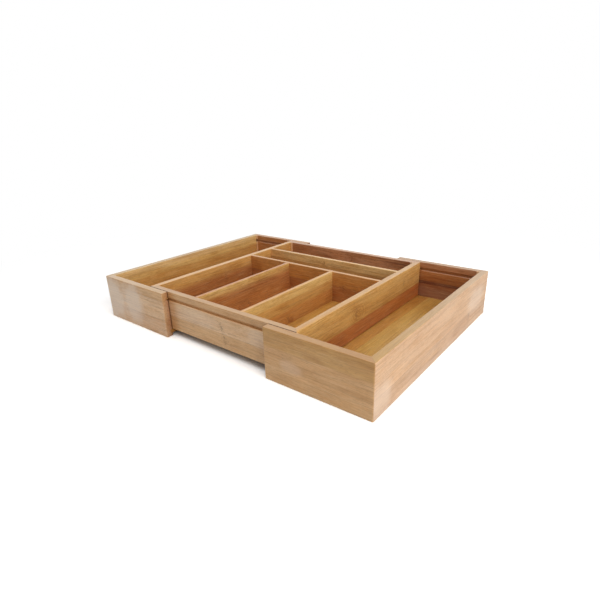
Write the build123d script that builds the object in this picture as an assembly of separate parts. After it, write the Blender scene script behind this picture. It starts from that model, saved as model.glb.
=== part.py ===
from build123d import *
import os

# Expanding cutlery tray in laminated bamboo, in millimetres.
# A centre tray with five compartments carries an extension at each end. Each extension is a
# three-sided frame with its own floor, which slides in over the centre tray's end and under its floor.
# X runs along the tray, Y from front to back and Z up. The origin is on the drawer's floor, under the
# middle of the tray. Both extensions are drawn pulled out to their stops.

# Overall sizes
tray_height = 71.0
tray_depth = 360.0
centre_width = 288.0

# Compartments of the centre tray. The long ones are as long as the cutlery needs, and the first cross
# compartment behind them takes its share of the depth that is left.
long_compartment = 202.0
long_compartments = 3
first_cross_share = 0.475

# Board thicknesses
extension_wall = 10.5
centre_wall = 9.5
divider_wall = 6.0
floor_thickness = 5.5

# Floors and dividers in their housings
extension_floor_recess = 5.0
centre_floor_recess = 4.0
housing_depth = 4.0
floor_play = 0.5
dado_depth = 2.0

# Slide grooves, whose lower lip is eased, and the keys glued into them
groove_height = 4.9
groove_depth = 3.0
groove_drop = 8.9
lip_ease = 1.0
key_length = 18.0
key_setback = 4.0
key_ease = 0.4

# Gaps and edges
running_gap = 0.5
closing_gap = 1.5
corner_radius = 1.5
edge_radius = 0.8
overrun = 5.0

# Places along Y, worked out from the outside in
outer_y = tray_depth / 2
extension_inner_y = outer_y - extension_wall
centre_outer_y = extension_inner_y - running_gap
centre_inner_y = centre_outer_y - centre_wall
front_divider_y = -centre_inner_y + long_compartment
cross_depth = centre_inner_y - front_divider_y - 2 * divider_wall
rear_divider_y = front_divider_y + divider_wall + first_cross_share * cross_depth

# Places along X
centre_outer_x = centre_width / 2
centre_inner_x = centre_outer_x - centre_wall
extension_length = centre_outer_x + extension_wall - closing_gap
key_overlap = 2 * (key_setback + key_length)
extension_start_x = centre_outer_x - key_overlap
extension_end_x = extension_start_x + extension_length
extension_inner_x = extension_end_x - extension_wall
divider_pitch = (2 * centre_inner_x + divider_wall) / long_compartments

# Places along Z
extension_floor_top = extension_floor_recess + floor_thickness
centre_bottom = extension_floor_top + running_gap
centre_floor_bottom = centre_bottom + centre_floor_recess
centre_floor_top = centre_floor_bottom + floor_thickness
groove_top = tray_height - groove_drop
groove_bottom = groove_top - groove_height
groove_middle = (groove_top + groove_bottom) / 2

# How far each extension slides in, until its end wall is a running gap from the centre tray
travel = extension_inner_x - centre_outer_x - running_gap


def block(x_span, y_span, z_span):
    """A box between a low and a high end along each axis."""
    spans = (x_span, y_span, z_span)
    corner = [low for low, high in spans]
    size = [high - low for low, high in spans]
    return Pos(*corner) * Box(*size, align=Align.MIN)


def mitre_prism(corners):
    """An upright prism over an outline in plan, taller than any wall, that cuts a wall out of a frame."""
    outline = make_face(Polyline(*corners, close=True))
    return Pos(0, 0, -overrun) * extrude(outline, amount=tray_height + 2 * overrun)


def upright_edges(frame, x):
    """The frame's vertical edges at a place along X."""
    upright = frame.edges().filter_by(Axis.Z)
    return upright.filter_by(lambda edge: abs(edge.center().X - x) < running_gap)


def rim_edges(frame):
    """The edges round the frame's upper and lower rims."""
    levels = frame.edges().group_by(Axis.Z)
    return levels[0] + levels[-1]


def centre_frame():
    """The centre tray's four walls as one ring, with rounded corners and eased rims."""
    heights = (centre_bottom, tray_height)
    frame = block((-centre_outer_x, centre_outer_x), (-centre_outer_y, centre_outer_y), heights)
    frame = fillet(frame.edges().filter_by(Axis.Z), corner_radius)
    inside = block(
        (-centre_inner_x, centre_inner_x),
        (-centre_inner_y, centre_inner_y),
        (centre_bottom - overrun, tray_height + overrun),
    )
    frame -= inside
    return fillet(rim_edges(frame), edge_radius)


def extension_frame():
    """The right extension's three walls as one piece, open towards the centre tray."""
    frame = block((extension_start_x, extension_end_x), (-outer_y, outer_y), (0, tray_height))
    frame = fillet(upright_edges(frame, extension_end_x), corner_radius)
    inside = block(
        (extension_start_x - overrun, extension_inner_x),
        (-extension_inner_y, extension_inner_y),
        (-overrun, tray_height + overrun),
    )
    frame -= inside
    return fillet(rim_edges(frame) + upright_edges(frame, extension_start_x), edge_radius)


def floor_housing(x_span, y_span, floor_bottom):
    """The space of a floor panel's groove, which runs into every wall round it."""
    return block(x_span, y_span, (floor_bottom, floor_bottom + floor_thickness))


def slide_groove(face_y, inward):
    """The slide groove's space along a front wall, cut into its face with the lower lip eased."""
    reach = extension_end_x + overrun
    outside_y = face_y - inward * overrun
    bottom_y = face_y + inward * groove_depth
    outline = Polyline(
        (outside_y, groove_top),
        (bottom_y, groove_top),
        (bottom_y, groove_bottom),
        (face_y + inward * lip_ease, groove_bottom),
        (face_y, groove_bottom - lip_ease),
        (outside_y, groove_bottom - lip_ease),
        close=True,
    )
    profile = Plane.YZ * make_face(outline)
    return Pos(-reach, 0, 0) * extrude(profile, amount=2 * reach, dir=(1, 0, 0))


def centre_walls():
    """Front, back, left and right walls of the centre tray, mitred at the corners."""
    frame = centre_frame()
    frame -= floor_housing(
        (-centre_inner_x - housing_depth, centre_inner_x + housing_depth),
        (-centre_inner_y - housing_depth, centre_inner_y + housing_depth),
        centre_floor_bottom,
    )
    beyond_x = centre_outer_x + overrun
    beyond_y = centre_outer_y + overrun
    front_prism = mitre_prism([
        (-beyond_x, -beyond_y),
        (beyond_x, -beyond_y),
        (centre_inner_x, -centre_inner_y),
        (-centre_inner_x, -centre_inner_y),
    ])
    right_prism = mitre_prism([
        (beyond_x, -beyond_y),
        (beyond_x, beyond_y),
        (centre_inner_x, centre_inner_y),
        (centre_inner_x, -centre_inner_y),
    ])
    plain_front = (frame & front_prism) - slide_groove(-centre_outer_y, inward=1)
    front = plain_front
    for x in long_divider_places():
        front -= block(
            (x - divider_wall / 2, x + divider_wall / 2),
            (-centre_inner_y - dado_depth, -centre_inner_y + overrun),
            (centre_floor_top, tray_height + overrun),
        )
    right = frame & right_prism
    for y in (front_divider_y, rear_divider_y):
        right -= block(
            (centre_inner_x - overrun, centre_inner_x + dado_depth),
            (y, y + divider_wall),
            (centre_floor_top, tray_height + overrun),
        )
    return {
        "centre_front_wall": front,
        "centre_back_wall": mirror(plain_front, about=Plane.XZ),
        "centre_right_wall": right,
        "centre_left_wall": mirror(right, about=Plane.YZ),
    }


def centre_floor():
    """The centre tray's floor panel, held in the grooves of its four walls."""
    reach_x = centre_inner_x + housing_depth - floor_play
    reach_y = centre_inner_y + housing_depth - floor_play
    return block((-reach_x, reach_x), (-reach_y, reach_y), (centre_floor_bottom, centre_floor_top))


def long_divider_places():
    """The middle of each long divider along X, evenly spaced between the side walls."""
    first = -centre_inner_x - divider_wall / 2
    return [first + divider_pitch * number for number in range(1, long_compartments)]


def eased_board(x_span, y_span, z_span, along):
    """A divider board with its two upper edges eased, which run along the axis given."""
    board = block(x_span, y_span, z_span)
    upper = board.edges().group_by(Axis.Z)[-1].filter_by(along)
    return fillet(upper, edge_radius)


def dividers():
    """The long dividers and the two cross dividers, each housed at both ends."""
    heights = (centre_floor_top, tray_height)
    pieces = {}
    for number, x in enumerate(long_divider_places(), start=1):
        pieces[f"long_divider_{number}"] = eased_board(
            (x - divider_wall / 2, x + divider_wall / 2),
            (-centre_inner_y - dado_depth, front_divider_y + dado_depth),
            heights,
            Axis.Y,
        )
    reach = centre_inner_x + dado_depth
    front = eased_board((-reach, reach), (front_divider_y, front_divider_y + divider_wall), heights, Axis.X)
    for x in long_divider_places():
        front -= block(
            (x - divider_wall / 2, x + divider_wall / 2),
            (front_divider_y - overrun, front_divider_y + dado_depth),
            (centre_floor_top - overrun, tray_height + overrun),
        )
    rear = eased_board((-reach, reach), (rear_divider_y, rear_divider_y + divider_wall), heights, Axis.X)
    pieces["cross_divider_front"] = front
    pieces["cross_divider_rear"] = rear
    return pieces


def extension_walls():
    """Front, back and end walls of the right extension, mitred at the two outer corners."""
    frame = extension_frame()
    frame -= floor_housing(
        (extension_start_x - overrun, extension_inner_x + housing_depth),
        (-extension_inner_y - housing_depth, extension_inner_y + housing_depth),
        extension_floor_recess,
    )
    beyond_x = extension_end_x + overrun
    beyond_y = outer_y + overrun
    front_prism = mitre_prism([
        (extension_start_x - overrun, -beyond_y),
        (beyond_x, -beyond_y),
        (extension_inner_x, -extension_inner_y),
        (extension_start_x - overrun, -extension_inner_y),
    ])
    end_prism = mitre_prism([
        (beyond_x, -beyond_y),
        (beyond_x, beyond_y),
        (extension_inner_x, extension_inner_y),
        (extension_inner_x, -extension_inner_y),
    ])
    front = (frame & front_prism) - slide_groove(-extension_inner_y, inward=-1)
    return {
        "front_wall": front,
        "back_wall": mirror(front, about=Plane.XZ),
        "end_wall": frame & end_prism,
    }


def extension_floor():
    """The extension's floor panel, flush with the inner ends of its walls."""
    reach_y = extension_inner_y + housing_depth - floor_play
    return block(
        (extension_start_x, extension_inner_x + housing_depth - floor_play),
        (-reach_y, reach_y),
        (extension_floor_recess, extension_floor_top),
    )


def slide_key():
    """One key at the origin: its seat fills a groove and its thinner tongue reaches out along Y."""
    tongue_height = groove_height - 2 * running_gap
    seat = block((0, key_length), (0, groove_depth), (-groove_height / 2, groove_height / 2))
    tongue = block(
        (0, key_length),
        (groove_depth - running_gap, 2 * groove_depth),
        (-tongue_height / 2, tongue_height / 2),
    )
    tongue = chamfer(tongue.edges().group_by(Axis.Y)[-1], key_ease)
    return seat + tongue


def extension_key():
    """The right extension's front key, near the inner end of its groove."""
    return Pos(extension_start_x + key_setback, -extension_inner_y - groove_depth, groove_middle) * slide_key()


def centre_key():
    """The centre tray's right front key, near its corner, which the extension's key meets at the stop."""
    turned = Rot(0, 0, 180) * slide_key()
    return Pos(centre_outer_x - key_setback, -centre_outer_y + groove_depth, groove_middle) * turned


def mirrored_pair(front, name):
    """A front piece and its back twin, named with the place of the word front or back."""
    return {
        name.format("front"): front,
        name.format("back"): mirror(front, about=Plane.XZ),
    }


def build_tray():
    """Every piece of the tray by node name, at its place with both extensions pulled out."""
    pieces = centre_walls()
    pieces["centre_floor"] = centre_floor()
    pieces.update(dividers())
    right = extension_walls()
    right["floor"] = extension_floor()
    right.update(mirrored_pair(extension_key(), "{}_slide_key"))
    stops = mirrored_pair(centre_key(), "{}_stop_key")
    for name, piece in right.items():
        pieces["right_" + name] = piece
        pieces["left_" + name] = mirror(piece, about=Plane.YZ)
    for name, piece in stops.items():
        pieces["centre_right_" + name] = piece
        pieces["centre_left_" + name] = mirror(piece, about=Plane.YZ)
    return pieces


os.makedirs("parts", exist_ok=True)
for node, piece in build_tray().items():
    export_step(piece, "parts/" + node + ".step")
print("pulled out length", 2 * extension_end_x)
print("pushed in length", 2 * (extension_end_x - travel))
print("travel of each extension", travel)
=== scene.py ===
"""Looks of an expanding bamboo cutlery tray with both extensions pulled out.

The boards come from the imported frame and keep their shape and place. This script gives every board its own
laminated bamboo finish, builds the three floor panels from glued strips, and sets up the floor, the light
and the camera. All lengths are in metres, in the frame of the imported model.
"""

import logging
import math
from dataclasses import dataclass, field
from enum import Enum
from typing import Any, Mapping, NamedTuple, Optional, Sequence, Union

import bpy
from mathutils import Matrix, Vector


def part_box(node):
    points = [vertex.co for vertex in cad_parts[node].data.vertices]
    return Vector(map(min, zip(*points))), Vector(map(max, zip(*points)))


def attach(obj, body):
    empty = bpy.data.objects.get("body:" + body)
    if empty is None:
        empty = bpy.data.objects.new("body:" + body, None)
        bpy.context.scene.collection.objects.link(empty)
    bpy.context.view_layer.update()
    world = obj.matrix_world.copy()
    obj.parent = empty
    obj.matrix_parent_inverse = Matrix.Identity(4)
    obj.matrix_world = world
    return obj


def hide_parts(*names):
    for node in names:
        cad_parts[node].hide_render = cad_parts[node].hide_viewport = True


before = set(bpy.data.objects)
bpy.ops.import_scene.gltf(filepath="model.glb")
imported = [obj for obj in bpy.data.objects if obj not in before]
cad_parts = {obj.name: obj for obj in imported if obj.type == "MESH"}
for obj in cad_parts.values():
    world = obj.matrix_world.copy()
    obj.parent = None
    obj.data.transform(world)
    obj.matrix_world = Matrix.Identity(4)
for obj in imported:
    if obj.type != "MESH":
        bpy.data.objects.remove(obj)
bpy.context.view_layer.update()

log = logging.getLogger("cutlery_tray")

MM = 0.001
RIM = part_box("right_end_wall")[1].z
OUTER_FACE = -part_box("right_front_wall")[0].y
# how far down from the rim the painted shade that darkens a board deepens
FADE_DEPTH = 34 * MM

Colour = tuple[float, float, float, float]
Number = Union["Value", float]
Sockets = Mapping[Union[str, int], Any]
Fibres = tuple[Any, "Value", "Value"]
Laid = tuple[Any, Number, Number]
Span = tuple[float, float]


def from_screen(red: int, green: int, blue: int) -> Colour:
    """A linear colour from the red, green and blue of a screen, each from 0 to 255."""

    def linear(level: int) -> float:
        share = level / 255
        return share / 12.92 if share <= 0.04045 else ((share + 0.055) / 1.055) ** 2.4

    return (linear(red), linear(green), linear(blue), 1.0)


class Grain(Enum):
    """The way that a board's fibres run, and the way that its strips are stacked."""

    WALL_ALONG_X = ("X", "Z", "Y")
    WALL_ALONG_Y = ("Y", "Z", "X")
    FLOOR_ALONG_Y = ("Y", "X", "Z")


class Value:
    """A number given out by a shader node, with Python's own arithmetic."""

    def __init__(self, bench: "ShaderBench", socket: bpy.types.NodeSocket) -> None:
        """Holds the socket and the bench that its Math nodes are made on."""
        self.bench = bench
        self.socket = socket

    def _maths(self, operation: str, *values: Number) -> "Value":
        """A Math node's result on the values given, in their order."""
        node = self.bench.node("ShaderNodeMath", {"operation": operation}, dict(enumerate(values)))
        return Value(self.bench, node.outputs[0])

    def __add__(self, other: Number) -> "Value":
        """This value plus another."""
        return self._maths("ADD", self, other)

    def __radd__(self, other: Number) -> "Value":
        """A number plus this value."""
        return self._maths("ADD", other, self)

    def __sub__(self, other: Number) -> "Value":
        """This value less another."""
        return self._maths("SUBTRACT", self, other)

    def __rsub__(self, other: Number) -> "Value":
        """A number less this value."""
        return self._maths("SUBTRACT", other, self)

    def __mul__(self, other: Number) -> "Value":
        """This value times another."""
        return self._maths("MULTIPLY", self, other)

    def __rmul__(self, other: Number) -> "Value":
        """A number times this value."""
        return self._maths("MULTIPLY", other, self)

    def __truediv__(self, other: Number) -> "Value":
        """This value divided by another."""
        return self._maths("DIVIDE", self, other)

    def __abs__(self) -> "Value":
        """This value without its sign."""
        return self._maths("ABSOLUTE", self)

    def above(self, level: float) -> "Value":
        """One where this value is over the level, and nothing elsewhere."""
        return self._maths("GREATER_THAN", self, level)

    def wave(self, period: float) -> "Value":
        """A wave that rises and falls once in each period, from nothing to one."""
        return self._maths("SINE", self * (math.tau / period)).rise(-1.0, 1.0)

    def clamped(self) -> "Value":
        """This value kept between nothing and one."""
        return self.rise(0.0, 1.0)

    def rise(self, low: float, high: float, smooth: bool = False) -> "Value":
        """Nothing at the low level and one at the high level, with a straight or a smooth way between.

        Args:
            low: the level where the result starts to rise, which may be the higher of the two.
            high: the level where the result reaches one.
            smooth: True for a curve without corners.

        Returns:
            The result, never under nothing or over one.
        """
        kind = "SMOOTHSTEP" if smooth else "LINEAR"
        node = self.bench.node(
            "ShaderNodeMapRange",
            {"interpolation_type": kind, "clamp": True},
            {"Value": self, "From Min": low, "From Max": high, "To Min": 0.0, "To Max": 1.0},
        )
        return Value(self.bench, node.outputs[0])

    def edge(self, level: float, span: Span) -> "Value":
        """Nothing at the span's first distance from the level and one at its second."""
        return self.rise(level + span[0], level + span[1])

    def bell(self, middle: float, reach: float) -> "Value":
        """One at the middle, falling smoothly to nothing at the reach on both sides."""
        return abs(self - middle).rise(reach, 0.0, smooth=True)


class ShaderBench:
    """Makes the nodes of one material or world."""

    def __init__(self, tree: bpy.types.NodeTree) -> None:
        """Clears the tree, so that it holds only what is made here."""
        self.tree = tree
        tree.nodes.clear()

    def node(self, kind: str, settings: Optional[Mapping[str, Any]] = None,
             sockets: Optional[Sockets] = None) -> bpy.types.Node:
        """Makes one node, sets it up and feeds its sockets.

        Args:
            kind: the node's type.
            settings: the node's own settings, such as a Math node's operation, which are set first.
            sockets: a value, a Value, a socket or a colour for each socket, by name or number.

        Returns:
            The node.
        """
        made = self.tree.nodes.new(kind)
        for name, setting in (settings or {}).items():
            setattr(made, name, setting)
        for name, value in (sockets or {}).items():
            socket = made.inputs[name]
            if isinstance(value, Value):
                self.tree.links.new(value.socket, socket)
            elif isinstance(value, bpy.types.NodeSocket):
                self.tree.links.new(value, socket)
            else:
                socket.default_value = value
        return made

    def value(self, node: bpy.types.Node, output: Union[str, int]) -> Value:
        """One output of a node as a value."""
        return Value(self, node.outputs[output])

    def point(self, x: Number, y: Number, z: Number) -> bpy.types.NodeSocket:
        """A vector from three values."""
        return self.node("ShaderNodeCombineXYZ", None, {0: x, 1: y, 2: z}).outputs[0]

    def length(self, vector: bpy.types.NodeSocket) -> Value:
        """How long a vector is."""
        return self.value(self.node("ShaderNodeVectorMath", {"operation": "LENGTH"}, {0: vector}), "Value")

    def noise(self, place: bpy.types.NodeSocket, detail: float, roughness: float) -> Value:
        """Smooth noise around one half at a place whose units are the noise's own.

        Args:
            place: where to read the noise, one unit for each of its lumps.
            detail: how many finer layers it has.
            roughness: how strong the finer layers are.

        Returns:
            The noise, mostly between 0.25 and 0.75.
        """
        made = self.node("ShaderNodeTexNoise", {"noise_dimensions": "3D"}, {
            "Vector": place, "Scale": 1.0, "Detail": detail, "Roughness": roughness,
        })
        return self.value(made, 0)

    def mix(self, share: Number, first: Any, second: Any, blend: str = "MIX") -> bpy.types.NodeSocket:
        """Two colours mixed.

        Args:
            share: how much of the second colour there is.
            first: a colour, or a socket that gives one.
            second: a colour, or a socket that gives one.
            blend: the way of mixing.

        Returns:
            The socket with the mixed colour.
        """
        made = self.node(
            "ShaderNodeMix",
            {"data_type": "RGBA", "blend_type": blend, "clamp_factor": True},
            {0: share, 6: first, 7: second},
        )
        return made.outputs[2]


@dataclass(frozen=True)
class Patch:
    """A soft oval on a board's face, at a place along the grain and up the board, in metres."""

    along: float
    up: float
    reach_along: float
    reach_up: float
    strength: float = 0.4

    def mask(self, along: Value, up: Value) -> Value:
        """One in the patch's middle and nothing outside it."""
        return along.bell(self.along, self.reach_along) * up.bell(self.up, self.reach_up)


@dataclass(frozen=True)
class Marks:
    """What a board shows besides its fibres: knuckles, painted sheen, stains and painted shade, and rings.
    """

    knuckles: tuple[Patch, ...] = ()
    painted_sheens: tuple[Patch, ...] = ()
    stains_and_shades: tuple[Patch, ...] = ()
    rings: tuple[Patch, ...] = ()


class Shade(Enum):
    """The colours that the bamboo strips come in, as red, green and blue of a screen."""

    PEARL = (242, 203, 160)
    PEACH = (233, 190, 147)
    ALMOND = (222, 180, 139)
    SAND = (215, 176, 140)
    STRAW = (230, 185, 132)
    WHEAT = (223, 176, 122)
    CREAM = (210, 167, 120)
    OAT = (188, 158, 117)
    BUFF = (181, 144, 100)
    TAN = (173, 129, 82)
    CORN = (237, 196, 131)
    FLAX = (220, 181, 111)
    BRASS = (209, 168, 83)
    MAIZE = (217, 173, 103)
    GOLD = (211, 163, 99)
    BISCUIT = (210, 149, 88)
    HONEY = (207, 157, 87)
    TOFFEE = (203, 148, 64)
    CARAMEL = (202, 139, 71)
    AMBER = (196, 126, 69)
    CHESTNUT = (177, 113, 62)
    DUN = (194, 137, 99)
    COCOA = (186, 129, 92)
    SORREL = (197, 119, 55)
    RUSSET = (190, 112, 54)
    UMBER = (155, 97, 64)
    WALNUT = (116, 63, 42)

    @property
    def colour(self) -> Colour:
        """The shade as a linear colour."""
        return from_screen(*self.value)


@dataclass(frozen=True)
class Strips:
    """The glued strips of a board, from its rim down: where the seams are below the rim, and the shades.

    The rim is the shade of the board's sanded upper edge, and front_warmth is how golden that edge turns
    towards the front; the paler edge further back partly stands in for reflected light, a painted sheen. The
    figure is how strongly the fibres show, the blend is how wide the change from one strip's shade to the
    next is, and the fade is how much darker the board is painted from its rim down to FADE_DEPTH below it, a
    painted shade deeper in the tray. Where gold_middle is given, the edge is only golden beyond about that
    distance from the tray's middle.
    """

    seams: tuple[float, ...] = ()
    shades: tuple[Shade, ...] = (Shade.HONEY,)
    rim: Optional[Shade] = Shade.CREAM
    figure: float = 1.0
    blend: float = 0.1 * MM
    fade: float = 0.0
    front_warmth: float = 0.0
    gold_middle: Optional[float] = None


@dataclass(frozen=True)
class Groove:
    """A slide groove along a board, in a face at a distance from the tray's middle.

    The way in is 1 where the groove is cut away from the middle, and -1 where it is cut towards it. The
    groove is painted darker down to the deepest distance from the face, as shade in its hollow.
    """

    face: float
    way_in: int
    deepest: float
    low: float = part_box("right_front_slide_key")[0].z
    high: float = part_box("right_front_slide_key")[1].z
    mouth: Span = (0.1 * MM, 0.5 * MM)
    bottom: Span = (0.5 * MM, 0.0)
    low_side: Span = (-1.2 * MM, 0.0)
    high_side: Span = (0.3 * MM, 0.0)

    def mask(self, up: Value, through: Value) -> Value:
        """One inside the groove and nothing on the board's faces."""
        sunk = (abs(through) - self.face) * self.way_in
        inside = sunk.rise(*self.mouth) * sunk.edge(self.deepest, self.bottom)
        return inside * up.edge(self.low, self.low_side) * up.edge(self.high, self.high_side)


@dataclass(frozen=True)
class Corner:
    """The pale sanded strip beside a frame's inner corner: where the corner and the board's face are."""

    along: float
    face: float
    width: float = 5 * MM
    start: Span = (0.0, 0.6 * MM)
    skin: Span = (0.6 * MM, 0.3 * MM)

    def mask(self, along: Value, through: Value) -> Value:
        """One on the strip and nothing on the rest of the board."""
        beside = abs(along).edge(self.along - self.width, self.start)
        return beside * abs(through).edge(self.face, self.skin)


@dataclass(frozen=True)
class Lie:
    """How a board lies: the way of its fibres, where its corners are mitred and where it ends squarely.

    The mitre is how much further out a corner is along X than along Y. The end is the distance from the
    middle of the tray at which the board's end grain shows, with painted shade towards the gap beside the
    centre tray. The arris is the distance from the middle of the face whose upper edge is rounded and
    painted a little darker, a painted shade against the light that the rounding catches. Further along the
    board than hidden_from, that edge lies in the narrow gap beside an extension's arm, whatever the
    extension's place, and is painted darker there as shade.
    """

    grain: Grain
    mitre: Optional[float] = None
    end: Optional[float] = None
    groove: Optional[Groove] = None
    corner: Optional[Corner] = None
    arris: Optional[float] = None
    hidden_from: Optional[float] = None


@dataclass(frozen=True)
class Lumps:
    """One layer of noise along the grain: how wide, long, shifted and fine its lumps are."""

    width: float
    length: float
    shift: float = 0.0
    detail: float = 2.0
    roughness: float = 0.6


class Spot(NamedTuple):
    """The point that a material works on: its bench, and its place along, up and through the board."""

    bench: ShaderBench
    along: Value
    up: Value
    through: Value

    @classmethod
    def on(cls, bench: ShaderBench, grain: Grain) -> "Spot":
        """The point on a board whose grain runs that way."""
        coordinates = bench.node("ShaderNodeTexCoord")
        split = bench.node("ShaderNodeSeparateXYZ", None, {0: coordinates.outputs["Object"]})
        return cls(bench, *(bench.value(split, axis) for axis in grain.value))

    def layer(self, lumps: Lumps, shift: Number) -> Value:
        """One layer of noise, stretched along the grain.

        Args:
            lumps: the layer's sizes.
            shift: what moves the noise along, so that strips and boards differ.

        Returns:
            The noise around one half.
        """
        shifted = self.along / lumps.length + (shift + lumps.shift)
        place = self.bench.point(shifted, self.up / lumps.width, self.through / lumps.width)
        return self.bench.noise(place, lumps.detail, lumps.roughness)


@dataclass(frozen=True)
class BambooFinish:
    """Lacquered bamboo, pressed from strips, with long fibres and the odd knuckle.

    A span is a change over a short way: its two distances from the level that it belongs to.
    """

    pale: Colour = from_screen(236, 206, 162)
    # a toasted brown, for the uneven tone of the fibres and for the painted shade lower down a board
    toast_and_shade: Colour = (0.76, 0.64, 0.48, 1.0)
    warm: Colour = (1.05, 0.98, 0.84, 1.0)
    cool: Colour = (0.96, 1.0, 1.08, 1.0)
    end_pale: Colour = (0.7, 0.66, 0.62, 1.0)
    # the end grain in painted shade towards the gap beside the centre tray, darkest at its inmost edge
    end_gap_shade: Colour = (0.52, 0.4, 0.34, 1.0)
    end_gap_shadow: Colour = (0.2, 0.13, 0.1, 1.0)
    # the painted shade inside a slide groove
    groove_painted_shade: Colour = (0.82, 0.68, 0.48, 1.0)
    fleck: Colour = from_screen(112, 66, 38)
    # the white of the painted sheen, which stands in for light reflected in the lacquer
    sheen_white: Colour = from_screen(250, 232, 214)
    # the darker tone of stains and of painted shade, also used for the rings
    stain_and_shade: Colour = (0.66, 0.5, 0.38, 1.0)
    corner_shade: Colour = from_screen(240, 200, 156)
    # painted shade on the rounded outer edge, against the light that the rounding catches
    arris_shade: Colour = (0.88, 0.84, 0.78, 1.0)
    # painted shade in the narrow gap beside an arm
    arm_gap_shade: Colour = (0.3, 0.24, 0.2, 1.0)
    # the golden front of a sanded edge; the paler edge further back partly stands in for reflected light, a
    # painted sheen
    rim_gold: Colour = (0.92, 0.72, 0.2, 1.0)
    rim_dark: Colour = (0.86, 0.84, 0.8, 1.0)
    rim_light: Colour = (1.14, 1.16, 1.2, 1.0)
    bend: Lumps = Lumps(24 * MM, 90 * MM, detail=1.0, roughness=0.5)
    whirl: Lumps = Lumps(9 * MM, 9 * MM, detail=1.0, roughness=0.5)
    cloud: Lumps = Lumps(16 * MM, 50 * MM, roughness=0.5)
    streak: Lumps = Lumps(2.6 * MM, 110 * MM)
    line: Lumps = Lumps(1.5 * MM, 90 * MM, shift=4.3, detail=1.0, roughness=0.5)
    speckle: Lumps = Lumps(1.9 * MM, 7 * MM)
    fibre: Lumps = Lumps(0.7 * MM, 28 * MM)
    dash: Lumps = Lumps(0.45 * MM, 6 * MM, detail=1.0, roughness=0.5)
    hue: Lumps = Lumps(9 * MM, 55 * MM, shift=8.1)
    mottle: Lumps = Lumps(1.5 * MM, 1.5 * MM)
    drift: Lumps = Lumps(14 * MM, 14 * MM, detail=3.0)
    scratch: Lumps = Lumps(1.1 * MM, 16 * MM, shift=2.9)
    sway: float = 5.2 * MM
    swirl: float = 20 * MM
    strip_shift: float = 3.7
    tone_shift: float = 9.1
    knuckle_drift: float = 8 * MM
    knuckle_width: float = 2.2 * MM
    ring_drift: float = 12 * MM
    ring_width: float = 4.2 * MM
    seam_width: float = 0.4 * MM
    joint_width: float = 0.35 * MM
    arris_side: Span = (-0.75 * MM, -0.5 * MM)
    arris_top: Span = (-1.2 * MM, -0.8 * MM)
    gap_side: Span = (-0.9 * MM, -0.6 * MM)
    gap_start: Span = (0.0, 0.5 * MM)
    rim_top: Span = (-0.3 * MM, -0.1 * MM)
    gold_side: Span = (-4 * MM, 4 * MM)
    warm_reach: Span = (60 * MM, -150 * MM)
    end_face: Span = (-0.5 * MM, -0.1 * MM)
    end_shade_fall: Span = (0.0, -9 * MM)
    end_shadow_band: Span = (-8.5 * MM, -10 * MM)
    roughness: float = 0.42
    coat: float = 0.45
    coat_roughness: float = 0.3
    bump_height: float = 0.04 * MM
    bump_strength: float = 0.5

    def strips(self, spot: Spot, strips: Strips, seed: float, strip_tone: str) -> Laid:
        """Lays the strips' own shades side by side, painted darker lower down as shade where the board has a
        fade.

        Args:
            spot: the point on the board.
            strips: the board's strips and their shades.
            seed: a number that sets this board's fibres apart from the others'.
            strip_tone: the attribute that holds each strip's tone, or nothing.

        Returns:
            The colour, what moves the fibres along on each strip, and where the seams are.
        """
        bench = spot.bench
        depth = RIM - spot.up
        shift: Number = seed
        colour: Any = strips.shades[0].colour
        seam: Number = 0.0
        if strip_tone:
            tone = bench.value(bench.node("ShaderNodeAttribute", {"attribute_name": strip_tone}), "Fac")
            colour = bench.mix(tone.rise(0.25, 0.75), colour, strips.shades[1].colour)
            shift = tone * self.tone_shift + seed
        else:
            for place, shade in zip(strips.seams, strips.shades[1:]):
                turn = depth.rise(place - strips.blend / 2, place + strips.blend / 2)
                colour = bench.mix(turn, colour, shade.colour)
                shift = depth.above(place) * self.strip_shift + shift
                if strips.blend < self.seam_width:
                    seam = depth.bell(place, self.seam_width) + seam
        # painted shade: the board darker lower down
        if strips.fade:
            colour = bench.mix(depth.rise(0.0, FADE_DEPTH) * strips.fade, colour, self.toast_and_shade, "MULTIPLY")
        return colour, shift, seam

    def fibres(self, spot: Spot, shift: Number, colour: Any, figure: float,
               knuckles: Sequence[Patch]) -> Fibres:
        """Lays streaks, growth lines, speckles, fibres and short dark dashes over a colour.

        Args:
            spot: the point on the board.
            shift: what moves the pattern along.
            colour: the strip's own colour.
            figure: how strongly the pattern shows.
            knuckles: the board's knuckles, which the fibres swirl round.

        Returns:
            The colour with its fibres, their height and how rough they make the surface.
        """
        bench, along, up, through = spot
        swayed_up = (spot.layer(self.bend, shift) - 0.5) * self.sway + up
        if knuckles:
            whirl = spot.layer(self.whirl, shift)
            near: Number = 0.0
            for patch in knuckles:
                wide = Patch(patch.along, patch.up, 2.2 * patch.reach_along, 1.5 * patch.reach_up)
                near = wide.mask(along, up) + near
            swayed_up = (whirl - 0.5) * near * self.swirl + swayed_up
        layers = (self.cloud, self.streak, self.line, self.speckle, self.fibre, self.dash, self.hue)
        swayed = Spot(bench, along, swayed_up, through)
        cloud, streak, line, speckle, fibre, dash, hue = (swayed.layer(lumps, shift) for lumps in layers)
        tint = bench.mix(hue.rise(0.36, 0.64), self.warm, self.cool)
        colour = bench.mix(min(1.0, 0.1 + 0.25 * figure), colour, tint, "MULTIPLY")
        uneven = (streak - 0.5) * 1.3 + (cloud - 0.5) * 1.7 + (speckle - 0.5) * 1.1
        colour = bench.mix((uneven * figure + 0.28).clamped(), colour, self.toast_and_shade, "MULTIPLY")
        colour = bench.mix(line.rise(0.56, 0.7) * (0.2 * figure), colour, self.fleck)
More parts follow.
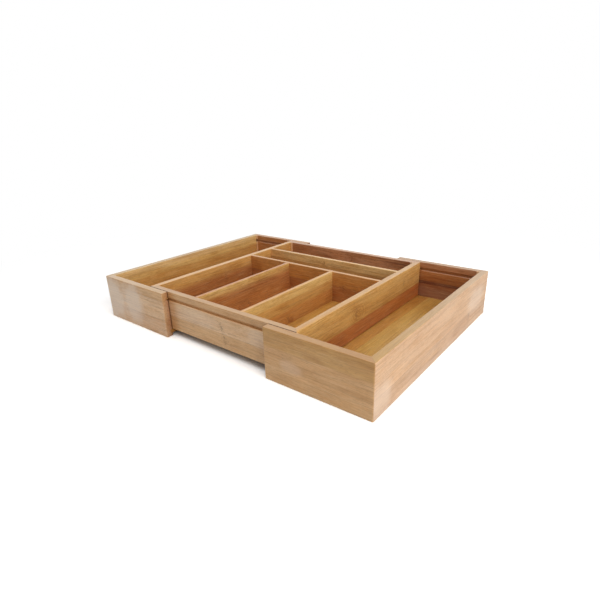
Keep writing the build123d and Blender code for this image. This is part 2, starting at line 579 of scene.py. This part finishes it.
        colour = bench.mix(fibre.rise(0.52, 0.8) * 0.4, colour, self.pale)
        colour = bench.mix(fibre.rise(0.47, 0.25) * (0.1 + 0.24 * figure), colour, self.fleck)
        colour = bench.mix(dash.rise(0.58, 0.75) * (0.1 + 0.26 * figure), colour, self.fleck)
        height = fibre * 0.6 - dash * 0.5
        roughness = (streak - 0.5) * 0.25 + (fibre - 0.5) * 0.1 + self.roughness
        return colour, height, roughness

    def marks(self, spot: Spot, marks: Marks, shift: Number, colour: Any) -> Any:
        """Lays knuckles, rings, painted sheen, and darker places that are partly stains and partly painted
        shade, over a colour.

        Args:
            spot: the point on the board.
            marks: the board's marks.
            shift: what moves the pattern along.
            colour: the colour under them.

        Returns:
            The socket with the marked colour.
        """
        if marks == Marks():
            return colour
        bench, along, up, _ = spot
        mottle = spot.layer(self.mottle, shift)
        drift = spot.layer(self.drift, shift)
        for patch in marks.knuckles:
            bent = (drift - 0.5) * self.knuckle_drift + along
            area = patch.mask(bent, up)
            line = bent.bell(patch.along, self.knuckle_width) * up.bell(patch.up, patch.reach_up)
            colour = bench.mix(area * mottle.rise(0.46, 0.6) * 0.5, colour, self.fleck)
            colour = bench.mix(line * mottle.rise(0.35, 0.6) * 0.42, colour, self.fleck)
        for patch in marks.rings:
            across = (along - patch.along) * (patch.reach_up / patch.reach_along)
            far = bench.length(bench.point(across, up - patch.up, 0.0))
            ring = ((drift - 0.5) * self.ring_drift + far).wave(self.ring_width)
            share = patch.mask(along, up) * ring * patch.strength
            colour = bench.mix(share, colour, self.stain_and_shade, "MULTIPLY")
        # painted sheen: pale places that stand in for light reflected in the lacquer
        for patch in marks.painted_sheens:
            area = (patch.mask(along, up) + (drift - 0.5) * 0.7).rise(0.12, 0.75, smooth=True)
            colour = bench.mix(area * patch.strength, colour, self.sheen_white)
        # darker places: partly darker wood and partly painted shade beside the arms, in corners and near the
        # back walls
        for patch in marks.stains_and_shades:
            area = (patch.mask(along, up) + (drift - 0.5) * 0.5).rise(0.1, 0.7, smooth=True)
            colour = bench.mix(area * patch.strength, colour, self.stain_and_shade, "MULTIPLY")
        return colour

    def sanded_rim(self, spot: Spot, strips: Strips, shift: Number, colour: Any) -> Any:
        """Lays the board's sanded upper edge over a colour.

        Args:
            spot: the point on the board.
            strips: the board's strips, which hold the rim's shade.
            shift: what moves the scratches along.
            colour: the colour under the edge.

        Returns:
            The socket with the colour and its edge.
        """
        bench, along, up, through = spot
        sanded: Any = strips.rim.colour
        share: Number = 0.6
        # golden towards the front; the paler edge further back partly stands in for reflected light, a
        # painted sheen
        if strips.front_warmth:
            near = along.rise(*self.warm_reach) * strips.front_warmth
            if strips.gold_middle is not None:
                near = near * abs(through).edge(strips.gold_middle, self.gold_side)
            sanded = bench.mix(near, sanded, self.rim_gold, "MULTIPLY")
            share = near * 0.3 + 0.6
        scratch = spot.layer(self.scratch, shift)
        grained = bench.mix(scratch.rise(0.3, 0.7), self.rim_dark, self.rim_light)
        sanded = bench.mix(1.0, sanded, grained, "MULTIPLY")
        return bench.mix(up.edge(RIM, self.rim_top) * share, colour, sanded)

    def upper_edge(self, spot: Spot, lie: Lie, strips: Strips, shift: Number, colour: Any) -> Any:
        """Lays the painted shade of the rounded outer edge, the sanded rim and the painted shade of the
        narrow gap beside an arm over a colour.

        Args:
            spot: the point on the board.
            lie: how the board lies.
            strips: the board's strips.
            shift: what moves the scratches along.
            colour: the colour under them.

        Returns:
            The socket with the colour and its upper edge.
        """
        bench, along, up, through = spot
        # painted shade on the rounded outer edge, against the light that the rounding catches
        if lie.arris is not None:
            rounded = abs(through).edge(lie.arris, self.arris_side) * up.edge(RIM, self.arris_top)
            colour = bench.mix(rounded, colour, self.arris_shade, "MULTIPLY")
        if strips.rim:
            colour = self.sanded_rim(spot, strips, shift, colour)
        # painted shade in the narrow gap beside an arm
        if lie.arris is not None and lie.hidden_from is not None:
            beside = abs(along).edge(lie.hidden_from, self.gap_start)
            hidden = abs(through).edge(lie.arris, self.gap_side) * beside
            colour = bench.mix(hidden, colour, self.arm_gap_shade, "MULTIPLY")
        return colour

    def ends(self, spot: Spot, lie: Lie, colour: Any) -> Any:
        """Lays the pale strip by the corner, the end grain with painted shade towards the gap beside the
        centre tray, and the mitre's glue line over a colour.

        Args:
            spot: the point on the board.
            lie: how the board lies.
            colour: the colour under them.

        Returns:
            The socket with the colour and its ends.
        """
        bench, along, _, through = spot
        if lie.corner:
            colour = bench.mix(lie.corner.mask(along, through) * 0.8, colour, self.corner_shade)
        # painted shade on the end grain towards the gap beside the centre tray, darkest at its inmost edge
        if lie.end is not None:
            grain_end = (lie.end - abs(along)).rise(*self.end_face)
            shaded_inward = abs(through).edge(OUTER_FACE, self.end_shade_fall)
            shadowed_inmost = abs(through).edge(OUTER_FACE, self.end_shadow_band)
            end_grain_and_shade = bench.mix(shadowed_inmost, bench.mix(shaded_inward, self.end_pale, self.end_gap_shade), self.end_gap_shadow)
            colour = bench.mix(grain_end, colour, end_grain_and_shade, "MULTIPLY")
        if lie.mitre is not None:
            across, deep = (along, through) if lie.grain is Grain.WALL_ALONG_X else (through, along)
            glue_line = abs(abs(across) - abs(deep) - lie.mitre).rise(self.joint_width, 0.0)
            colour = bench.mix(glue_line * 0.5, colour, self.fleck)
        return colour

    def material(self, name: str, lie: Lie, strips: Strips, seed: float, marks: Marks = Marks(),
                 strip_tone: str = "") -> bpy.types.Material:
        """The finish of one board.

        Args:
            name: the material's name.
            lie: how the board lies.
            strips: the board's strips and their shades.
            seed: a number that sets this board's fibres apart from the others'.
            marks: the board's marks.
            strip_tone: the attribute that holds each strip's tone between the two shades given, where the
                strips are modelled.

        Returns:
            The material.
        """
        made = bpy.data.materials.new(name)
        made.use_nodes = True
        bench = ShaderBench(made.node_tree)
        spot = Spot.on(bench, lie.grain)
        colour, shift, seam = self.strips(spot, strips, seed, strip_tone)
        colour, height, roughness = self.fibres(spot, shift, colour, strips.figure, marks.knuckles)
        if isinstance(seam, Value):
            colour = bench.mix(seam * 0.4, colour, self.fleck)
            height = height - seam
        colour = self.marks(spot, marks, shift, colour)
        colour = self.upper_edge(spot, lie, strips, shift, colour)
        coat: Number = self.coat
        # painted shade inside the groove, with no coat there
        if lie.groove:
            sunk = lie.groove.mask(spot.up, spot.through)
            colour = bench.mix(sunk, colour, self.groove_painted_shade, "MULTIPLY")
            coat = self.coat - sunk * self.coat
        colour = self.ends(spot, lie, colour)
        bump = bench.node("ShaderNodeBump", None, {
            "Strength": self.bump_strength, "Distance": self.bump_height, "Height": height,
        })
        surface = bench.node("ShaderNodeBsdfPrincipled", None, {
            "Base Color": colour,
            "Roughness": roughness,
            "Normal": bump.outputs[0],
            "Coat Weight": coat,
            "Coat Roughness": self.coat_roughness,
        })
        bench.node("ShaderNodeOutputMaterial", None, {"Surface": surface.outputs[0]})
        return made


@dataclass(frozen=True)
class Board:
    """One board of the frame: its node, how it lies, its strips and its marks."""

    node: str
    lie: Lie
    strips: Strips = Strips()
    marks: Marks = Marks()

    def dress(self, finish: BambooFinish, seed: float) -> None:
        """Gives the node's own mesh this board's finish.

        Args:
            finish: the finish that all boards share.
            seed: a number that sets this board's fibres apart from the others'.
        """
        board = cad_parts[self.node]
        made = finish.material("bamboo_" + self.node, self.lie, self.strips, seed, self.marks)
        for slot in board.material_slots:
            slot.material = made
        if not board.material_slots:
            board.data.materials.append(made)
        log.info("board %s has %d strips", self.node, len(self.strips.shades))


KEY = Lie(Grain.WALL_ALONG_X)


def corner_step(side_wall: str, front_wall: str) -> float:
    """How much further out a corner is along X than along Y, from the two walls that meet there."""
    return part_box(side_wall)[1].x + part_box(front_wall)[0].y


@dataclass
class CentreTray:
    """The centre tray's walls, dividers and keys, with the strips that the photograph shows on each."""

    finish: BambooFinish
    mitre: float = corner_step("centre_right_wall", "centre_front_wall")
    shaded_groove_depth: float = 4 * MM
    board_seed: float = 1.7
    board_seed_step: float = 11.3
    key_seed: float = 3.1
    key_seed_step: float = 5.9

    def boards(self) -> list[Board]:
        """The walls and the dividers."""
        inner_face, outer_face = (corner.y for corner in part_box("centre_back_wall"))
        inner_x, outer_x = (corner.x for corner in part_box("centre_right_wall"))
        corner = Corner(inner_x, inner_face)
        groove = Groove(outer_face, -1, self.shaded_groove_depth)
        arm_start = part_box("right_front_wall")[0].x
        grooved = Lie(Grain.WALL_ALONG_X, self.mitre, None, groove, corner, outer_face, arm_start)
        along_y = Lie(Grain.WALL_ALONG_Y, self.mitre)
        cross = Lie(Grain.WALL_ALONG_X)
        long = Lie(Grain.WALL_ALONG_Y)
        return [
            Board("centre_front_wall", grooved,
                  Strips((10 * MM, 38 * MM), (Shade.WHEAT, Shade.PEARL, Shade.STRAW), Shade.BUFF),
                  Marks((Patch(12 * MM, 42 * MM, 8 * MM, 10 * MM),
                         Patch(16 * MM, 26 * MM, 9 * MM, 12 * MM)),
                        # painted sheen of light reflected in the lacquer
                        (Patch(-45 * MM, 44 * MM, 75 * MM, 22 * MM, 0.16),
                         Patch(78 * MM, 44 * MM, 30 * MM, 22 * MM, 0.16)),
                        # painted shade on the face beside the left arm's end
                        (Patch(-103 * MM, 32 * MM, 34 * MM, 90 * MM, 0.5),))),
            Board("centre_back_wall", grooved,
                  Strips((31 * MM,), (Shade.DUN, Shade.CHESTNUT), Shade.SAND, figure=3.0),
                  Marks((Patch(12 * MM, 58 * MM, 7 * MM, 10 * MM),), (),
                        (Patch(-125 * MM, 72 * MM, 84 * MM, 20 * MM, 0.68),
                         Patch(126 * MM, 71 * MM, 84 * MM, 21 * MM, 0.6)))),
            Board("centre_left_wall", along_y,
                  Strips((17 * MM, 41 * MM), (Shade.HONEY, Shade.CHESTNUT, Shade.UMBER), Shade.STRAW,
                         figure=1.6, blend=11 * MM),
                  Marks((Patch(-22 * MM, 47 * MM, 7 * MM, 9 * MM),))),
            Board("centre_right_wall", along_y,
                  Strips((36.5 * MM,), (Shade.MAIZE, Shade.SORREL), figure=1.7, fade=0.66,
                         front_warmth=1.0, gold_middle=(inner_x + outer_x) / 2),
                  Marks((Patch(-37 * MM, 48 * MM, 9 * MM, 15 * MM),
                         Patch(108 * MM, 52 * MM, 7 * MM, 10 * MM)), (), (),
                        (Patch(-31 * MM, 47 * MM, 32 * MM, 23 * MM, 1.0),))),
            Board("long_divider_1", long,
                  Strips((9.5 * MM, 28.5 * MM), (Shade.FLAX, Shade.CHESTNUT, Shade.AMBER), Shade.RUSSET,
                         figure=2.0, blend=12 * MM),
                  Marks((Patch(-60 * MM, 30 * MM, 7 * MM, 9 * MM),))),
            Board("long_divider_2", long,
                  Strips((13 * MM, 28 * MM), (Shade.FLAX, Shade.HONEY, Shade.CARAMEL), Shade.BISCUIT,
                         figure=1.3, blend=3 * MM),
                  Marks((Patch(-72 * MM, 28 * MM, 7 * MM, 10 * MM),), (),
                        (Patch(-66 * MM, 25 * MM, 10 * MM, 9 * MM, 0.7),))),
            Board("cross_divider_front", cross,
                  Strips((24 * MM,), (Shade.CARAMEL, Shade.CHESTNUT), Shade.WHEAT, figure=1.4),
                  Marks((Patch(70 * MM, 45 * MM, 7 * MM, 10 * MM),), (),
                        (Patch(-128 * MM, 54 * MM, 34 * MM, 22 * MM, 0.5),))),
            Board("cross_divider_rear", cross,
                  Strips((14 * MM,), (Shade.CORN, Shade.GOLD), Shade.WHEAT, figure=1.5),
                  Marks((Patch(-8 * MM, 60 * MM, 6 * MM, 8 * MM),), (),
                        (Patch(-122 * MM, 60 * MM, 60 * MM, 24 * MM, 0.42),))),
        ]

    def build(self) -> None:
        """Dresses the boards and the keys."""
        for number, board in enumerate(self.boards()):
            board.dress(self.finish, self.board_seed_step * number + self.board_seed)
        for number, place in enumerate(("left_front", "left_back", "right_front", "right_back")):
            key = Board(f"centre_{place}_stop_key", KEY)
            key.dress(self.finish, self.key_seed_step * number + self.key_seed)


@dataclass
class Extension:
    """One sliding extension: its three walls and two keys."""

    side: str
    finish: BambooFinish
    front: Strips
    end: Strips
    back: Strips
    front_marks: Marks = Marks()
    end_marks: Marks = Marks()
    back_marks: Marks = Marks()
    mitre: float = corner_step("right_end_wall", "right_front_wall")
    start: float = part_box("right_front_wall")[0].x
    shaded_groove_depth: float = 1 * MM
    seed_step: float = 7.7

    def build(self, seed: float) -> None:
        """Dresses the walls and the keys.

        Args:
            seed: a number that sets this extension's fibres apart from the other's.
        """
        inner_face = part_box("right_back_wall")[0].y
        corner = Corner(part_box("right_end_wall")[0].x, inner_face)
        groove = Groove(inner_face, 1, self.shaded_groove_depth)
        arm = Lie(Grain.WALL_ALONG_X, self.mitre, self.start, groove, corner, OUTER_FACE)
        boards = (
            Board(self.side + "_front_wall", arm, self.front, self.front_marks),
            Board(self.side + "_end_wall", Lie(Grain.WALL_ALONG_Y, self.mitre), self.end, self.end_marks),
            Board(self.side + "_back_wall", arm, self.back, self.back_marks),
            Board(self.side + "_front_slide_key", KEY),
            Board(self.side + "_back_slide_key", KEY),
        )
        for number, board in enumerate(boards):
            board.dress(self.finish, seed + self.seed_step * number)


@dataclass
class FloorPanel:
    """A floor panel glued up from strips by one geometry tree, and shown in place of its plain node."""

    node: str
    body: str
    strips: int
    seed: int
    finish: BambooFinish
    marks: Marks = Marks()
    tones: tuple[float, float] = (0.0, 1.0)
    joint: float = 0.03 * MM
    arris: float = 0.18 * MM
    arris_steps: int = 2
    fibre_seed_step: float = 1.9
    tree: bpy.types.NodeTree = field(init=False)

    def __post_init__(self) -> None:
        """Finds or makes the one tree that all panels share."""
        name = "glued_strips"
        self.tree = bpy.data.node_groups.get(name) or self.make_tree(name)

    @staticmethod
    def make_tree(name: str) -> bpy.types.NodeTree:
        """The tree that lays equal strips side by side along X and gives each its own tone.

        Args:
            name: the tree's name.

        Returns:
            The tree.
        """
        tree = bpy.data.node_groups.new(name, "GeometryNodeTree")
        sockets = (
            ("Strips", "NodeSocketInt"), ("Pitch", "NodeSocketFloat"), ("Low Corner", "NodeSocketVector"),
            ("Strip Size", "NodeSocketVector"), ("Palest", "NodeSocketFloat"),
            ("Darkest", "NodeSocketFloat"), ("Seed", "NodeSocketInt"), ("Finish", "NodeSocketMaterial"),
        )
        for label, kind in sockets:
            tree.interface.new_socket(name=label, in_out="INPUT", socket_type=kind)
        tree.interface.new_socket(name="Panel", in_out="OUTPUT", socket_type="NodeSocketGeometry")

        def in_use(sockets: Any, label: str) -> bpy.types.NodeSocket:
            """The socket in use of that name, where a node has one for each kind of data."""
            return next(socket for socket in sockets if socket.name == label and socket.enabled)

        def node(kind: str, feeds: Optional[Sockets] = None, **settings: Any) -> bpy.types.Node:
            """A node with its settings and what feeds its sockets."""
            made = tree.nodes.new(kind)
            for label, setting in settings.items():
                setattr(made, label, setting)
            for label, feed in (feeds or {}).items():
                socket = made.inputs[label] if isinstance(label, int) else in_use(made.inputs, label)
                if isinstance(feed, bpy.types.NodeSocket):
                    tree.links.new(feed, socket)
                else:
                    socket.default_value = feed
            return made

        given = node("NodeGroupInput").outputs
        half = node("ShaderNodeVectorMath", {0: given["Strip Size"], "Scale": 0.5}, operation="SCALE")
        start = node("ShaderNodeVectorMath", {0: given["Low Corner"], 1: half.outputs[0]}, operation="ADD")
        step = node("ShaderNodeCombineXYZ", {"X": given["Pitch"]})
        line = node("GeometryNodeMeshLine", {
            "Count": given["Strips"], "Start Location": start.outputs[0], "Offset": step.outputs[0],
        }, mode="OFFSET")
        strip = node("GeometryNodeMeshCube", {"Size": given["Strip Size"]})
        rows = node("GeometryNodeInstanceOnPoints", {
            "Points": line.outputs[0], "Instance": strip.outputs[0],
        })
        tone = node("FunctionNodeRandomValue", {
            "Min": given["Palest"], "Max": given["Darkest"], "Seed": given["Seed"],
        }, data_type="FLOAT")
        toned = node("GeometryNodeStoreNamedAttribute", {
            "Geometry": rows.outputs[0], "Name": "strip_tone", "Value": in_use(tone.outputs, "Value"),
        }, data_type="FLOAT", domain="INSTANCE")
        solid = node("GeometryNodeRealizeInstances", {"Geometry": toned.outputs[0]})
        dressed = node("GeometryNodeSetMaterial", {
            "Geometry": solid.outputs[0], "Material": given["Finish"],
        })
        node("NodeGroupOutput", {"Panel": dressed.outputs[0]})
        return tree

    def build(self) -> bpy.types.Object:
        """Builds the panel in the space of its node and hides the node.

        Returns:
            The panel as a plain mesh.
        """
        low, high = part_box(self.node)
        pitch = (high.x - low.x) / self.strips
        size = (pitch - self.joint, high.y - low.y, high.z - low.z)
        finish = self.finish.material(
            "bamboo_" + self.node, Lie(Grain.FLOOR_ALONG_Y),
            Strips((), (Shade.BRASS, Shade.TOFFEE), rim=None, figure=1.2),
            self.seed * self.fibre_seed_step, self.marks, strip_tone="strip_tone",
        )
        panel = bpy.data.objects.new(self.node + "_strips", bpy.data.meshes.new(self.node + "_strips"))
        bpy.context.scene.collection.objects.link(panel)
        maker = panel.modifiers.new("strips", "NODES")
        maker.node_group = self.tree
        values = {
            "Strips": self.strips, "Pitch": pitch, "Low Corner": tuple(low), "Strip Size": size,
            "Palest": self.tones[0], "Darkest": self.tones[1], "Seed": self.seed, "Finish": finish,
        }
        for item in self.tree.interface.items_tree:
            if item.in_out == "INPUT":
                maker[item.identifier] = values[item.name]
        bevel = panel.modifiers.new("arris", "BEVEL")
        bevel.width = self.arris
        bevel.segments = self.arris_steps
        bevel.limit_method = "ANGLE"
        bpy.context.view_layer.update()
        evaluated = panel.evaluated_get(bpy.context.evaluated_depsgraph_get())
        shape = bpy.data.meshes.new_from_object(evaluated)
        panel.modifiers.clear()
        panel.data = shape
        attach(panel, self.body)
        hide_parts(self.node)
        log.info("panel %s has %d strips and %d faces", self.node, self.strips, len(shape.polygons))
        return panel


@dataclass(frozen=True)
class SoftBox:
    """A square studio lamp at a place, turned to the tray."""

    name: str
    place: tuple[float, float, float]
    size: float
    power: float
    tint: tuple[float, float, float] = (1.0, 1.0, 1.0)

    def build(self) -> None:
        """Makes the lamp."""
        lamp = bpy.data.lights.new(self.name, "AREA")
        lamp.shape = "SQUARE"
        lamp.size = self.size
        lamp.energy = self.power
        lamp.color = self.tint
        holder = bpy.data.objects.new(self.name, lamp)
        bpy.context.scene.collection.objects.link(holder)
        holder.location = self.place
        holder.rotation_euler = (-Vector(self.place)).to_track_quat("-Z", "Y").to_euler()
        log.info("lamp %s gives %.1f watts", self.name, self.power)


@dataclass
class Studio:
    """The white floor, the even light of the room and the lamps."""

    floor_size: float = 8.0
    floor_drop: float = 0.1 * MM
    white: Colour = (1.0, 1.0, 1.0, 1.0)
    floor_colour: Colour = (0.64, 0.64, 0.64, 1.0)
    # painted shadow: the floor shown darker under the centre tray's front
    shaded_floor_colour: Colour = (0.87, 0.86, 0.85, 1.0)
    shown_floor_colour: Colour = (1.4, 1.4, 1.4, 1.0)
    shade_inset: float = 32 * MM
    shade_reach: float = 22 * MM
    white_from: float = 0.35
    white_by: float = 0.8
    room_light: float = 0.3
    lamps: tuple[SoftBox, ...] = (
        SoftBox("key_lamp", (2.0, -0.3, 0.95), 2.0, 38.0, (1.0, 0.99, 0.97)),
        SoftBox("top_lamp", (0.0, -0.45, 2.2), 1.8, 22.0),
    )

    def build(self) -> None:
        """Makes the floor, the room's light and the lamps."""
        self.build_floor()
        self.build_room()
        for lamp in self.lamps:
            lamp.build()

    def build_floor(self) -> None:
        """A plain floor that looks white to the camera and keeps the tray's shadow, shown darker under the
        centre tray's front as a painted shadow.
        """
        half = self.floor_size / 2
        corners = [(-half, -half), (half, -half), (half, half), (-half, half)]
        shape = bpy.data.meshes.new("floor")
        shape.from_pydata([(x, y, -self.floor_drop) for x, y in corners], [], [(0, 1, 2, 3)])
        floor = bpy.data.objects.new("floor", shape)
        bpy.context.scene.collection.objects.link(floor)
        made = bpy.data.materials.new("white_floor")
        made.use_nodes = True
        bench = ShaderBench(made.node_tree)
        ray = bench.node("ShaderNodeLightPath")
        spot = bench.node("ShaderNodeTexCoord").outputs["Object"]
        away = bench.length(spot)
        split = bench.node("ShaderNodeSeparateXYZ", None, {0: spot})
        # painted shadow under the centre tray's front, where the floor is shown darker
        inset = OUTER_FACE - self.shade_inset
        before = abs(bench.value(split, "Y")).rise(inset, inset + self.shade_reach, smooth=True)
        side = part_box("centre_right_wall")[1].x
        beside = abs(bench.value(split, "X")).rise(side - self.shade_reach, side)
        clear = (before + beside).clamped()
        plain = bench.node("ShaderNodeBsdfDiffuse", None, {"Color": self.floor_colour})
        near = bench.node("ShaderNodeBsdfDiffuse", None, {
            "Color": bench.mix(clear, self.shaded_floor_colour, self.shown_floor_colour),
        })
        far = bench.node("ShaderNodeEmission", None, {"Color": self.white, "Strength": 1.0})
        fading = away.rise(self.white_from, self.white_by, smooth=True)
        shown = bench.node("ShaderNodeMixShader", None, {0: fading, 1: near.outputs[0], 2: far.outputs[0]})
        both = bench.node("ShaderNodeMixShader", None, {
            0: bench.value(ray, "Is Camera Ray"), 1: plain.outputs[0], 2: shown.outputs[0],
        })
        bench.node("ShaderNodeOutputMaterial", None, {"Surface": both.outputs[0]})
        shape.materials.append(made)

    def build_room(self) -> None:
        """A white room: even light on the tray, and white to the camera and in reflections."""
        world = bpy.data.worlds.new("white_room")
        world.use_nodes = True
        bpy.context.scene.world = world
        bench = ShaderBench(world.node_tree)
        ray = bench.node("ShaderNodeLightPath")
        seen = bench.value(ray, "Is Camera Ray") + bench.value(ray, "Is Glossy Ray")
        seen = (seen + bench.value(ray, "Is Transmission Ray")).clamped()
        strength = seen * (1 - self.room_light) + self.room_light
        room = bench.node("ShaderNodeBackground", None, {"Color": self.white, "Strength": strength})
        bench.node("ShaderNodeOutputWorld", None, {"Surface": room.outputs[0]})


@dataclass
class PhotoCamera:
    """The camera at the photograph's place, found from the tray's corners in it."""

    place: tuple[float, float, float] = (0.43963, -0.52657, 0.29177)
    yaw: float = 38.949
    pitch: float = 21.293
    roll: float = -1.791
    focal_pixels: float = 444.58
    image_pixels: float = 600.0
    sensor: float = 36.0

    def build(self) -> None:
        """Makes the camera and sets it as the scene's."""
        yaw, pitch, roll = (math.radians(angle) for angle in (self.yaw, self.pitch, self.roll))
        level = Vector((math.cos(yaw), math.sin(yaw), 0.0))
        forward = Vector((-math.sin(yaw), math.cos(yaw), 0.0))
        ahead = forward * math.cos(pitch) - Vector((0.0, 0.0, math.sin(pitch)))
        over = level.cross(ahead)
        right = level * math.cos(roll) + over * math.sin(roll)
        up = over * math.cos(roll) - level * math.sin(roll)
        lens = bpy.data.cameras.new("photo_camera")
        lens.sensor_width = self.sensor
        lens.lens = self.sensor * self.focal_pixels / self.image_pixels
        camera = bpy.data.objects.new("photo_camera", lens)
        bpy.context.scene.collection.objects.link(camera)
        turn = Matrix((right, up, -ahead)).transposed().to_4x4()
        camera.matrix_world = Matrix.Translation(self.place) @ turn
        bpy.context.scene.camera = camera
        log.info("camera lens is %.2f mm", lens.lens)


def main() -> None:
    """Builds the tray's finish and the studio, in order."""
    logging.basicConfig(level=logging.INFO, format="%(name)s: %(message)s")
    bamboo = BambooFinish()
    CentreTray(bamboo).build()
    Extension(
        "right", bamboo,
        front=Strips((8 * MM, 24 * MM, 48 * MM), (Shade.HONEY, Shade.GOLD, Shade.WHEAT, Shade.STRAW),
                     Shade.TAN, blend=3 * MM),
        end=Strips((27 * MM, 45.5 * MM), (Shade.ALMOND, Shade.ALMOND, Shade.SAND), Shade.OAT,
                   front_warmth=0.8),
        back=Strips((9 * MM, 31.5 * MM, 37 * MM), (Shade.COCOA, Shade.CHESTNUT, Shade.WALNUT, Shade.UMBER),
                    Shade.OAT, figure=1.6, blend=1 * MM, fade=0.2),
        front_marks=Marks((), (Patch(142 * MM, 28 * MM, 30 * MM, 14 * MM, 0.16),),
                          (Patch(236 * MM, 68 * MM, 52 * MM, 26 * MM, 0.24),)),
        end_marks=Marks((Patch(103 * MM, 20 * MM, 8 * MM, 10 * MM),),
                        # painted sheen: the paler far end, a paler place by the front corner and a paler
                        # band under the rim
                        (Patch(130 * MM, 40 * MM, 60 * MM, 30 * MM, 0.3),
                         Patch(-165 * MM, 20 * MM, 44 * MM, 34 * MM, 0.3),
                         Patch(0.0, 3 * MM, 400 * MM, 9 * MM, 0.15)),
                        (Patch(72 * MM, 8 * MM, 66 * MM, 34 * MM, 0.22),),
                        (Patch(-162 * MM, 46 * MM, 20 * MM, 22 * MM, 0.22),)),
        back_marks=Marks((), (Patch(190 * MM, 18 * MM, 200 * MM, 18 * MM, 0.06),),
                         (Patch(190 * MM, 44 * MM, 200 * MM, 8 * MM, 0.46),)),
    ).build(seed=2.3)
    Extension(
        "left", bamboo,
        front=Strips((13 * MM, 44 * MM), (Shade.STRAW, Shade.PEARL, Shade.PEACH), Shade.OAT, figure=1.2),
        end=Strips((19 * MM, 45 * MM), (Shade.FLAX, Shade.HONEY, Shade.HONEY), Shade.OAT,
                   figure=1.3, blend=4 * MM),
        back=Strips((33 * MM,), (Shade.CHESTNUT, Shade.UMBER), figure=1.5),
        front_marks=Marks((), (
            # painted sheen of light reflected in the lacquer
            Patch(-240 * MM, 36 * MM, 56 * MM, 66 * MM, 0.58),
            Patch(-182 * MM, 40 * MM, 44 * MM, 58 * MM, 0.52),
        )),
        end_marks=Marks((), (Patch(0.0, 71 * MM, 400 * MM, 18 * MM, 0.09),)),
        back_marks=Marks((), (Patch(-200 * MM, 60 * MM, 200 * MM, 7 * MM, 0.08),)),
    ).build(seed=61.9)
    panels = (
        FloorPanel("centre_floor", "centre_tray", 13, 3, bamboo),
        FloorPanel("left_floor", "left_extension", 7, 5, bamboo,
                   # painted shade on the floor by the front wall, under the centre tray's front edge
                   Marks((), (), (Patch(-168 * MM, -100 * MM, 40 * MM, 14 * MM, 0.9),))),
        FloorPanel("right_floor", "right_extension", 7, 35, bamboo,
                   # painted shade on the floor's far end, beside the back wall
                   Marks((), (), (Patch(175 * MM, 205 * MM, 130 * MM, 150 * MM, 0.5),))),
    )
    for panel in panels:
        panel.build()
    Studio().build()
    PhotoCamera().build()
    bpy.context.scene.view_settings.view_transform = "Standard"


if __name__ == "__main__":
    main()
